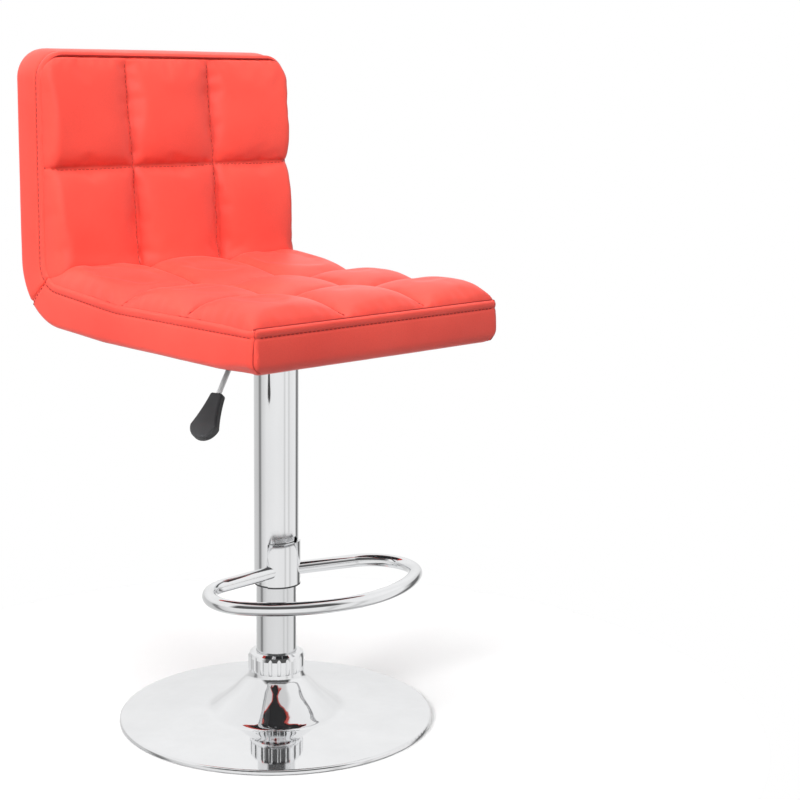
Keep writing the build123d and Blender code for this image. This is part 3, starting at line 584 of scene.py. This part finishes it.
# ---- quilted faces -------------------------------------------------------------------------
PLEAT_HEIGHT, PLEAT_REACH = 0.0007, 0.010
QUILT_RIPPLE = 0.0004
SEWN_DIP, SEWN_LEVEL = 0.0012, 0.0005    # sewn lines are pulled in where they stand above the seam
QUILT_DEPTH = 0.016
RIM_ROLL = 0.0035
AIR_PRESSURE = 3.0
SETTLE_FRAMES = 20
SETTLE_CAP = 0.003                       # how far a point may move while it settles


def spaced(cells, per_cell):
    """Cell coordinate from 0 to cells, with points gathered near every channel."""
    within = np.linspace(0, 1, per_cell + 1)
    within = 0.45 * within + 0.55 * (0.5 - 0.5 * np.cos(math.pi * within))
    return np.concatenate([k + within[:-1] for k in range(cells)] + [[cells]])


def swell(distance, width):
    """How fully a stuffed square stands up at a distance from one of its sewn sides."""
    return (1 - (1 - np.clip(distance / width, 0, 1)) ** 2.4) ** 0.58


def stuffing(cell, count, size, first, last):
    """Fullness across a row of stuffed squares; first and last are the outer shoulder widths."""
    number = np.clip(np.floor(cell + 1e-9), 0, count - 1)
    inside = cell - number
    low = np.where(number == 0, first, size / 2)
    high = np.where(number == count - 1, last, size / 2)
    return swell(inside * size, low) * swell((1 - inside) * size, high)


def pleats(cell_u, cell_v, du, dv, seed):
    """Short puckers that run away from the sewn lines, in metres."""
    near_u = np.exp(-du / PLEAT_REACH)
    near_v = np.exp(-dv / PLEAT_REACH)
    rng = np.random.default_rng(seed)
    phase = rng.uniform(0, math.tau, 4)
    wave_v = np.sin(cell_v * 31 + phase[0]) * np.sin(cell_v * 13 + cell_u * 2 + phase[1])
    wave_u = np.sin(cell_u * 29 + phase[2]) * np.sin(cell_u * 11 + cell_v * 3 + phase[3])
    return PLEAT_HEIGHT * (near_u * wave_v + near_v * wave_u)


def settle(outer, pins):
    """Cloth simulation of a sewn face: the sewn lines are held and air pressure fills the squares."""
    rows, cols = outer.shape[:2]
    piece = add_mesh("settling", outer.reshape(-1, 3), grid_faces(rows, cols), CORAL)
    group = piece.vertex_groups.new(name="sewn")
    group.add([int(k) for k in np.flatnonzero(pins.ravel())], 1.0, "REPLACE")
    cloth = piece.modifiers.new("Cloth", "CLOTH")
    cloth.settings.vertex_group_mass = "sewn"
    cloth.settings.quality = 5
    cloth.settings.mass = 0.25
    cloth.settings.tension_stiffness = 60
    cloth.settings.compression_stiffness = 60
    cloth.settings.shear_stiffness = 8
    cloth.settings.bending_stiffness = 4.0
    cloth.settings.use_pressure = True
    cloth.settings.uniform_pressure_force = AIR_PRESSURE
    cloth.settings.shrink_min = -0.006
    cloth.settings.effector_weights.gravity = 0
    cloth.collision_settings.use_collision = False
    scene = bpy.context.scene
    for number in range(1, SETTLE_FRAMES + 1):
        scene.frame_set(number)
    shaped = piece.evaluated_get(bpy.context.evaluated_depsgraph_get())
    mesh = shaped.to_mesh()
    points = np.zeros(len(mesh.vertices) * 3)
    mesh.vertices.foreach_get("co", points)
    shaped.to_mesh_clear()
    bpy.data.objects.remove(piece)
    scene.frame_set(1)
    moved = points.reshape(outer.shape) - outer
    size = np.linalg.norm(moved, axis=-1, keepdims=True)
    return outer + moved * np.minimum(1, SETTLE_CAP / np.maximum(size, 1e-9))


def make_quilt(name, base, facing, cell_u, cell_v, puff_at, rise_at, shoulders, replaced, seed):
    """A quilted face on a base grid; rows run along cell_u, columns along cell_v."""
    rows, cols = base.shape[:2]
    cells_u, cells_v = int(round(cell_u[-1])), int(round(cell_v[-1]))
    grid_u = np.repeat(cell_u[:, None], cols, 1)
    grid_v = np.repeat(cell_v[None, :], rows, 0)
    run_u = np.stack([lengths(base[:, c]) for c in range(cols)], 1)
    run_v = np.stack([lengths(base[r]) for r in range(rows)], 0)
    gap_u = np.minimum(run_u, run_u[-1:] - run_u)
    gap_v = np.minimum(run_v, run_v[:, -1:] - run_v)
    size_u, size_v = run_u[-1:].mean() / cells_u, run_v[:, -1:].mean() / cells_v
    seam_u = np.abs(grid_u - np.round(grid_u)) * size_u
    seam_v = np.abs(grid_v - np.round(grid_v)) * size_v
    rise = rise_at(run_u, run_u[-1:] - run_u, gap_v)
    full_u = stuffing(grid_u, cells_u, size_u, *shoulders[0])
    full = full_u * stuffing(grid_v, cells_v, size_v, *shoulders[1])
    height = rise + puff_at(run_u[-1:] - run_u) * full
    height = height + pleats(grid_u, grid_v, seam_u, seam_v, seed)
    height = height + QUILT_RIPPLE * ripple(run_u, run_v, seed)
    sewn = (seam_u < 1e-6) | (seam_v < 1e-6)
    height = np.where(sewn, rise - SEWN_DIP * (rise > SEWN_LEVEL), height)
    outer = base + facing * height[..., None]
    outer = settle(outer, sewn)
    rim = edge_drop([gap_u, gap_v], [RIM_ROLL, RIM_ROLL])
    outer = outer - facing * rim[..., None]
    inner = base - facing * QUILT_DEPTH
    piece = closed_sheet(name, outer, inner, CORAL)
    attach(piece, "seat")
    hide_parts(*replaced)
    return {"grid": outer, "facing": facing}


def seat_rise(from_front, from_rear, from_side):
    """The sewn lines of the seat stand a little above its edge seam."""
    ends = smooth(0, 0.050, from_front) * smooth(0, 0.045, from_rear)
    return 0.0045 * ends * smooth(0, 0.040, from_side) ** 0.7


def seat_puff(from_rear):
    """How far the squares of the seat stand up."""
    return np.full_like(from_rear, 0.0190)


def back_rise(from_crease, from_top, from_side):
    """The sewn lines of the back stand out from its edge seam, more so lower down."""
    return 0.0065 * smooth(0, 0.15, from_top) * smooth(0, 0.014, from_side) ** 0.7


def back_puff(from_top):
    """How far the squares of the back stand out, less towards the top."""
    return np.interp(from_top, [0, 0.05, 0.13, 0.25], [0.0070, 0.0092, 0.0150, 0.0185])


PER_CELL = 34
PAD_OVERLAP = 0.0045             # how far a quilted face reaches past the pad, under the borders
# Seat: rows run from the front to the crease, columns from the right to the left.
crease_y = float(crease_arc[MIDDLE, 0]) + 0.002
seat_u = spaced(3, PER_CELL)
seat_v = spaced(COLUMNS, PER_CELL)
seat_rows = [FRONT + 0.004, FRONT + 0.1155, FRONT + 0.230, crease_y]
seat_y = np.interp(seat_u, [0, 1, 2, 3], seat_rows)
pad_half = INNER + PAD_OVERLAP
channel = pad_half / COLUMNS
skew = np.interp(seat_y, [FRONT, crease_y], [0.010, 0.005])
seat_x = np.stack([np.interp(seat_v, [0, 1, 2, 3], [-pad_half, k - channel, k + channel, pad_half])
                   for k in skew])
seat_base = np.stack([seat_x,
                      np.repeat(seat_y[:, None], len(seat_v), 1),
                      np.repeat(seam_height(seat_y)[:, None], len(seat_v), 1)], -1)
seat_facing = np.broadcast_to(np.array([0, 0, 1.0]), seat_base.shape)
seat_quilt = make_quilt("seat_cushion_quilted", seat_base, seat_facing, seat_u, seat_v,
                        seat_puff, seat_rise, ((0.040, 0.020), (0.024, 0.024)), ["seat_cushion"], 41)

# Back: rows run from the crease to the top, columns from the left to the right.
back_low = float(crease_arc[MIDDLE, 1]) - 0.004
back_high = TOP - 0.005
MID_SEAM = 0.1315                # height of the seam across the back, above the crease
back_u = spaced(2, PER_CELL + 4)
back_v = spaced(COLUMNS, PER_CELL)
back_z = np.interp(back_u, [0, 1, 2], [back_low, back_low + MID_SEAM, back_high])
LEAN_START, LEAN_SPAN, LEAN = 0.012, 0.045, 0.013     # the face comes forward into the crease
lean = np.clip((crease_arc[-1, 1] + LEAN_START - back_z) / LEAN_SPAN, 0, None) ** 2 * LEAN
quilt_corner = TOP_CORNER - 0.005
over = np.clip(back_z - (back_high - quilt_corner), 0, quilt_corner)
quilt_half = pad_half - quilt_corner + np.sqrt(quilt_corner**2 - over**2)
skew = np.interp(back_z, [back_low, back_high], [0.005, -0.006])
back_x = np.stack([np.interp(back_v, [0, 1, 2, 3], [w, k + channel, k - channel, -w])
                   for w, k in zip(quilt_half, skew)])
back_base = np.stack([back_x, np.repeat((FACE - lean)[:, None], back_x.shape[1], 1),
                      np.repeat(back_z[:, None], back_x.shape[1], 1)], -1)
back_facing = np.broadcast_to(np.array([0, -1.0, 0]), back_base.shape)
back_quilt = make_quilt("back_cushion_quilted", back_base, back_facing, back_u, back_v,
                        back_puff, back_rise, ((0.018, 0.040), (0.009, 0.009)), ["back_cushion"], 43)


# ---- stitches ------------------------------------------------------------------------------
STITCH_SECTION = 6
STITCH_SINK = 0.00015            # how deep a stitch lies in the cover
CORD_SECTION = 6


def stitch_template():
    """A short rounded bar of unit length along x: rings of points, then faces."""
    stations = [(-0.5, 0.25), (-0.42, 0.8), (-0.2, 1.0), (0.2, 1.0), (0.42, 0.8), (0.5, 0.25)]
    points, faces = [], []
    for place, size in stations:
        for k in range(STITCH_SECTION):
            angle = math.tau * k / STITCH_SECTION
            points.append((place, size * math.cos(angle), size * math.sin(angle)))
    for ring in range(len(stations) - 1):
        for k in range(STITCH_SECTION):
            a = ring * STITCH_SECTION + k
            b = ring * STITCH_SECTION + (k + 1) % STITCH_SECTION
            faces.append((a, b, b + STITCH_SECTION, a + STITCH_SECTION))
    last = (len(stations) - 1) * STITCH_SECTION
    faces.append(tuple(range(STITCH_SECTION))[::-1])
    faces.append(tuple(range(last, last + STITCH_SECTION)))
    return np.array(points), faces


STITCH_POINTS, STITCH_FACES = stitch_template()


def sew(name, paths, length=0.0042, gap=0.0020, thick=0.00055):
    """Rows of stitches along paths; each path is (points, normals)."""
    points, faces = [], []
    for line, normals in paths:
        run = lengths(line)
        start = gap
        while start + length < run[-1]:
            ends = [np.array([np.interp(place, run, line[:, k]) for k in range(3)])
                    for place in (start, start + length)]
            up = np.array([np.interp(start + length / 2, run, normals[:, k]) for k in range(3)])
            x = unit(ends[1] - ends[0])
            y = unit(np.cross(up, x))
            z = np.cross(x, y)
            place = (ends[0] + ends[1]) / 2 + z * (thick * 0.5 - STITCH_SINK)
            local = STITCH_POINTS * [length, thick, thick]
            base = len(points) * len(STITCH_POINTS)
            points.append(place + local[:, :1] * x + local[:, 1:2] * y + local[:, 2:] * z)
            faces += [tuple(i + base for i in f) for f in STITCH_FACES]
            start += length + gap
    piece = add_mesh(name, np.concatenate(points), faces, THREAD_AND_SEAM_SHADE)
    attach(piece, "seat")
    return piece


def across_at(border, distance):
    """Path along a border at a distance from its face seam."""
    points, normals = [], []
    for row, run_row, face_row in zip(border["grid"], border["run"], border["facing"]):
        points.append([np.interp(distance, run_row, row[:, k]) for k in range(3)])
        normals.append([np.interp(distance, run_row, face_row[:, k]) for k in range(3)])
    return np.array(points), np.array(normals)


def station(border, row, start=0.0, end=1.0):
    """Path across a border at one station."""
    count = border["grid"].shape[1]
    pick = slice(int(start * count), max(int(end * count), 2))
    return border["grid"][row, pick], border["facing"][row, pick]


def trimmed(path, head, tail):
    points, normals = path
    run = lengths(points)
    keep = (run >= head) & (run <= run[-1] - tail)
    return points[keep], normals[keep]


sew("topstitch_back", [across_at(borders["back"], BAND)])
sew("topstitch_seat", [trimmed(across_at(borders[key], BAND), 0.004, 0.001)
                       for key in ("seat_left", "seat_right", "front")])


def quilt_lines(quilt, cells_u, cells_v, per_u, per_v, beside):
    """Stitch rows one grid step beside every channel."""
    normals = grid_normals(quilt["grid"])
    normals = normals * np.sign(np.sum(normals * quilt["facing"], -1, keepdims=True))
    paths = []
    for k in range(1, cells_u):
        row = k * per_u + beside[0]
        paths.append(trimmed((quilt["grid"][row], normals[row]), 0.006, 0.006))
    for k in range(1, cells_v):
        col = k * per_v + beside[1]
        paths.append(trimmed((quilt["grid"][:, col], normals[:, col]), 0.006, 0.006))
    return paths


sew("quilt_stitch_seat", quilt_lines(seat_quilt, 3, 3, PER_CELL, PER_CELL, (1, 1)), thick=0.00045)
sew("quilt_stitch_back", quilt_lines(back_quilt, 2, 3, PER_CELL + 4, PER_CELL, (-1, 1)), thick=0.00045)


def cord(name, paths, radius):
    """A thin dark cord pulled down into the seams, as painted shade in the seam grooves."""
    points, faces = [], []
    for line, normals in paths:
        along = unit(np.gradient(line, axis=0))
        side = unit(np.cross(normals, along))
        lift = np.cross(along, side)
        base = len(points)
        for p, s, n in zip(line, side, lift):
            for k in range(CORD_SECTION):
                angle = math.tau * k / CORD_SECTION
                points.append(p + radius * (s * math.cos(angle) + n * math.sin(angle)))
        for r in range(len(line) - 1):
            for k in range(CORD_SECTION):
                a = base + r * CORD_SECTION + k
                b = base + r * CORD_SECTION + (k + 1) % CORD_SECTION
                faces.append((a, b, b + CORD_SECTION, a + CORD_SECTION))
        faces.append(tuple(range(base, base + CORD_SECTION))[::-1])
        faces.append(tuple(range(len(points) - CORD_SECTION, len(points))))
    piece = add_mesh(name, points, faces, THREAD_AND_SEAM_SHADE)
    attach(piece, "seat")
    return piece


def seam_path(border, inset):
    """The face seam of a border, a little inside it."""
    edge = across_at(border, 0.0)
    return edge[0] - border["facing"][:, 0] * inset, border["facing"][:, 0]


# Painted shade: dark cords along the face seams of the borders and, thinner, along the front corner seams.
cord("seam_painted_shade",
     [seam_path(borders[key], 0.0002) for key in ("back", "seat_left", "seat_right", "front")], 0.0009)
cord("corner_painted_shade", [station(borders[key], 0, 0.0, 1.0) for key in ("seat_left", "seat_right")], 0.0003)
sew("mitre_stitch", [station(borders[key], -2, 0.1, 0.97) for key in ("seat_left", "seat_right")],
    length=0.0034, gap=0.0022)


def rear_edge_path():
    """Path on the rear cover, a band's width inside its sewn edge."""
    keep = [r for r in range(REAR_STEPS) if rear_run[r, 0] < rear_run[-1, 0] - BAND]
    left, right = [], []
    for r in keep:
        x = width_here[r] - BAND
        for side, store in ((-1, left), (1, right)):
            store.append([np.interp(side * x, rear_x[r], rear_outer[r, :, k]) for k in range(3)])
    normals = [rear_facing[r, 0] for r in keep]
    return [(np.array(left), np.array(normals)), (np.array(right), np.array(normals))]


sew("topstitch_rear", rear_edge_path())

# ---- floor, light and camera ---------------------------------------------------------------
FLOOR_RADIUS, FLOOR_SIDES = 0.60, 96
floor_turns = [math.tau * k / FLOOR_SIDES for k in range(FLOOR_SIDES)]
floor_ring = [(FLOOR_RADIUS * math.cos(t), FLOOR_RADIUS * math.sin(t), 0.0) for t in floor_turns]
floor_material, _, floor_shader = new_material("pale_floor", Roughness=0.6)
floor_shader.inputs["Base Color"].default_value = (0.92, 0.92, 0.92, 1)
floor = add_mesh("floor", floor_ring, [tuple(range(FLOOR_SIDES))], floor_material, False)
floor.visible_glossy = False


def area_light(name, place, target, size, power):
    """A rectangular lamp at a place, turned towards a target."""
    data = bpy.data.lights.new(name, "AREA")
    data.shape = "RECTANGLE"
    data.size, data.size_y = size
    data.energy = power
    lamp = bpy.data.objects.new(name, data)
    bpy.context.scene.collection.objects.link(lamp)
    lamp.location = place
    lamp.rotation_euler = (Vector(target) - Vector(place)).to_track_quat("-Z", "Y").to_euler()
    return lamp


lamps = [
    area_light("overhead", (-0.3, -0.5, 2.9), (0, 0, 0.4), (2.2, 2.2), 50),
    area_light("key_left", (-2.3, -0.3, 1.5), (0, 0.05, 0.6), (1.0, 1.0), 58),
    area_light("back_face", (-0.5, -2.0, 1.7), (0, 0.2, 0.70), (0.5, 0.5), 0.75),
    area_light("behind", (0.9, 2.4, 1.6), (0, 0.1, 0.5), (2.0, 1.2), 16),
]
lamps[2].data.spread = math.radians(26)
for lamp in lamps:
    lamp.visible_glossy = False

# ---- studio surround -----------------------------------------------------------------------
AZIMUTH = -0.7249345             # direction of the camera, which the surround is laid out around
world = bpy.data.worlds.new("studio")
bpy.context.scene.world = world
world.use_nodes = True
sky = world.node_tree
background = sky.nodes["Background"]


def maths(operation, first, second=None):
    made = sky.nodes.new("ShaderNodeMath")
    made.operation = operation
    for slot_number, value in enumerate((first, second)):
        if value is None:
            continue
        if isinstance(value, (int, float)):
            made.inputs[slot_number].default_value = value
        else:
            sky.links.new(value, made.inputs[slot_number])
    return made.outputs[0]


def grey_ramp(source, stops):
    return ramp(sky, source, [(place, (grey, grey, grey, 1)) for place, grey in stops])


def blend_greys(factor, first, second):
    made = sky.nodes.new("ShaderNodeMix")
    made.data_type = "RGBA"
    for socket, value in ((made.inputs[0], factor), (made.inputs[6], first), (made.inputs[7], second)):
        if isinstance(value, (int, float)):
            socket.default_value = (value, value, value, 1)
        else:
            sky.links.new(value, socket)
    return made.outputs[2]


look = sky.nodes.new("ShaderNodeTexCoord")
parts = sky.nodes.new("ShaderNodeSeparateXYZ")
sky.links.new(look.outputs["Generated"], parts.inputs[0])
east, north, rise_z = parts.outputs
toward = maths("ADD", maths("MULTIPLY", east, math.sin(AZIMUTH)),
               maths("MULTIPLY", north, -math.cos(AZIMUTH)))
beside_it = maths("ADD", maths("MULTIPLY", east, math.cos(AZIMUTH)),
                  maths("MULTIPLY", north, math.sin(AZIMUTH)))
bearing = maths("ADD", maths("DIVIDE", maths("ARCTAN2", beside_it, toward), math.tau), 0.5)
level = maths("ADD", maths("MULTIPLY", rise_z, 0.5), 0.5)


def at(degrees):
    return degrees / 360 + 0.5


# Pale panels with narrow dark gaps between them, round the stool.
panels = grey_ramp(bearing, [
    (at(-180), 0.86), (at(-140), 0.66), (at(-106), 0.60), (at(-97), 0.24), (at(-88), 0.26), (at(-80), 0.66),
    (at(-52), 0.84), (at(0), 0.90), (at(36), 0.88), (at(44), 0.66), (at(50), 0.90), (at(61), 0.88),
    (at(68), 0.64), (at(75), 0.86), (at(112), 0.92), (at(127), 0.16), (at(140), 0.16), (at(150), 0.78),
    (at(180), 0.86)])
height_tone = grey_ramp(level, [(0.0, 0.30), (0.30, 0.62), (0.47, 0.84), (0.62, 0.89), (0.72, 0.97),
                                (1.0, 0.9)])
panel_share = grey_ramp(level, [(0.05, 0.0), (0.20, 1.0), (0.52, 1.0), (0.58, 0.12), (1.0, 0.0)])
mirror_tone = blend_greys(panel_share, height_tone, panels)
dark_level = grey_ramp(level, [(0.60, 0.0), (0.64, 1.0), (0.90, 1.0), (0.93, 0.3)])
dark_bearing = grey_ramp(bearing, [(at(-62), 0.0), (at(-46), 1.0), (at(50), 1.0), (at(64), 0.0)])
mirror_tone = blend_greys(maths("MULTIPLY", dark_level, dark_bearing), mirror_tone, 0.10)
soft_tone = grey_ramp(level, [(0.0, 0.10), (0.42, 0.22), (0.55, 0.55), (1.0, 0.72)])
rays = sky.nodes.new("ShaderNodeLightPath")
shade_side = grey_ramp(bearing, [(at(10), 0.0), (at(70), 0.75), (at(130), 0.75), (at(178), 0.0)])
soft_tone = blend_greys(shade_side, soft_tone, 0.12)
surround = blend_greys(rays.outputs["Is Glossy Ray"], soft_tone, mirror_tone)
sky.links.new(blend_greys(rays.outputs["Is Camera Ray"], surround, 1.0), background.inputs["Color"])

DISTANCE, HEIGHT = 2.0780, 0.78896
PITCH, YAW, ROLL = 0.1853282, -0.0715968, 0.0126795
heading = AZIMUTH + YAW
forward = Vector((-math.sin(heading) * math.cos(PITCH), math.cos(heading) * math.cos(PITCH),
                  -math.sin(PITCH)))
right = Vector((math.cos(heading), math.sin(heading), 0))
up = right.cross(forward)
tilted_right = right * math.cos(ROLL) + up * math.sin(ROLL)
tilted_up = up * math.cos(ROLL) - right * math.sin(ROLL)
camera_data = bpy.data.cameras.new("camera")
camera_data.sensor_width = 36
camera_data.lens = 79.0
camera = bpy.data.objects.new("camera", camera_data)
bpy.context.scene.collection.objects.link(camera)
turn = Matrix((tilted_right, tilted_up, -forward)).transposed().to_4x4()
camera_place = (math.sin(AZIMUTH) * DISTANCE, -math.cos(AZIMUTH) * DISTANCE, HEIGHT)
camera.matrix_world = Matrix.Translation(camera_place) @ turn
bpy.context.scene.camera = camera
bpy.context.scene.view_settings.view_transform = "Standard"
